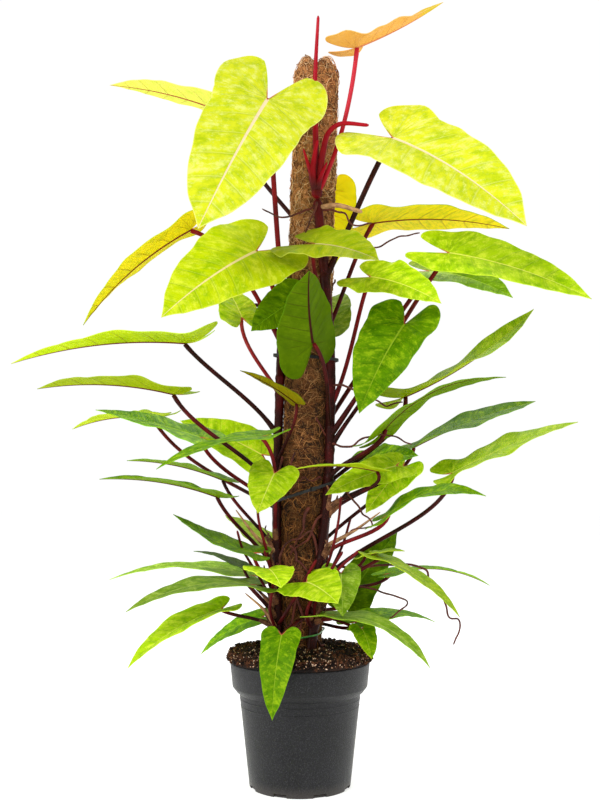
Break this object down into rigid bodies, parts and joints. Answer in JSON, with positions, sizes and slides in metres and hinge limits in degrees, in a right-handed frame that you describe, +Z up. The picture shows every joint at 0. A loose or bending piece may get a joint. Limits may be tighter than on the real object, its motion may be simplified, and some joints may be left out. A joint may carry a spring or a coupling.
{
  "type": "potted painted lady philodendron",
  "caption": "Potted climbing philodendron with yellow-green heart-shaped leaves on long dark red stalks, tied to a coir pole in a black nursery pot.",
  "frame": {"origin": "centre of the pot's underside", "axes": "+Z up, -Y towards the front, +X to the right seen from the front"},
  "size_m": [0.8531, 0.3945, 1.1805],
  "materials": {
    "pot": "satin, finely pebbled black plastic",
    "soil": "matt, crumbly bark and peat with pale flecks",
    "coir": "matt, matted brown coconut fibre",
    "stalk": "satin, dark red to near black stalks, tan papery sheaths, brown roots",
    "new_growth": "satin, smooth crimson",
    "tie_black": "satin black strap",
    "tie_green": "satin green strap",
    "leaf_lemon": "satin lemon yellow, mottled with pale green",
    "leaf_chartreuse": "satin chartreuse, mottled with darker green",
    "leaf_lime": "satin lime green, mottled with yellow",
    "leaf_green": "satin mid green, mottled with yellow",
    "leaf_dark": "satin dark green",
    "leaf_sage": "satin green with a grey sheen, mottled",
    "leaf_olive": "satin olive yellow underside, darker green above",
    "leaf_orange": "satin orange, paler towards the midrib"
  },
  "bodies": {
    "root": {"pot": "pot", "soil": "soil", "coir_pole": "coir", "stem_front": "stalk", "stem_left": "stalk", "stem_back": "stalk", "new_growth": "new_growth", "tie_upper": "tie_black", "tie_lower": "tie_black", "tie_green": "tie_green", "leaf_crown_left": "leaf_lemon", "leaf_crown_right": "leaf_lemon", "leaf_newest": "leaf_orange", "leaf_crown_back": "leaf_chartreuse", "leaf_upper_left_drooping": "leaf_olive", "leaf_upper_left_broad": "leaf_chartreuse", "leaf_upper_middle_bright": "leaf_chartreuse", "leaf_upper_right_olive": "leaf_olive", "leaf_upper_back_yellow": "leaf_olive", "leaf_upper_right_long": "leaf_lime", "leaf_upper_right_mid": "leaf_green", "leaf_upper_right_inner": "leaf_lime", "leaf_upper_right_hanging": "leaf_green", "leaf_upper_front_dark": "leaf_dark", "leaf_upper_left_dark": "leaf_dark", "leaf_upper_left_small": "leaf_sage", "leaf_middle_left_top": "leaf_lime", "leaf_middle_left_flat": "leaf_lime", "leaf_middle_left_pale": "leaf_lime", "leaf_middle_left_long": "leaf_lime", "leaf_middle_left_behind": "leaf_lime", "leaf_middle_left_grey": "leaf_sage", "leaf_middle_left_slim": "leaf_green", "leaf_middle_left_low": "leaf_green", "leaf_middle_left_steep": "leaf_dark", "leaf_middle_heart": "leaf_chartreuse", "leaf_middle_left_olive": "leaf_olive", "leaf_middle_right_twisted": "leaf_sage", "leaf_middle_right_olive": "leaf_olive", "leaf_middle_right_grey": "leaf_sage", "leaf_middle_right_long": "leaf_lime", "leaf_middle_right_arched": "leaf_green", "leaf_cluster_upper": "leaf_green", "leaf_cluster_pale": "leaf_lime", "leaf_cluster_olive": "leaf_green", "leaf_middle_across": "leaf_lime", "leaf_low_left_upper": "leaf_sage", "leaf_low_left_lower": "leaf_sage", "leaf_low_left_bright": "leaf_lime", "leaf_low_left_front": "leaf_lime", "leaf_low_left_dark": "leaf_dark", "leaf_low_front": "leaf_lime", "leaf_low_middle_bright": "leaf_chartreuse", "leaf_low_middle_grey": "leaf_sage", "leaf_low_right_dark": "leaf_dark", "leaf_low_right_yellow": "leaf_chartreuse", "leaf_low_right_slim": "leaf_sage", "leaf_low_right_green": "leaf_green", "leaf_low_right_arched": "leaf_green"}
  },
  "joints": []
}
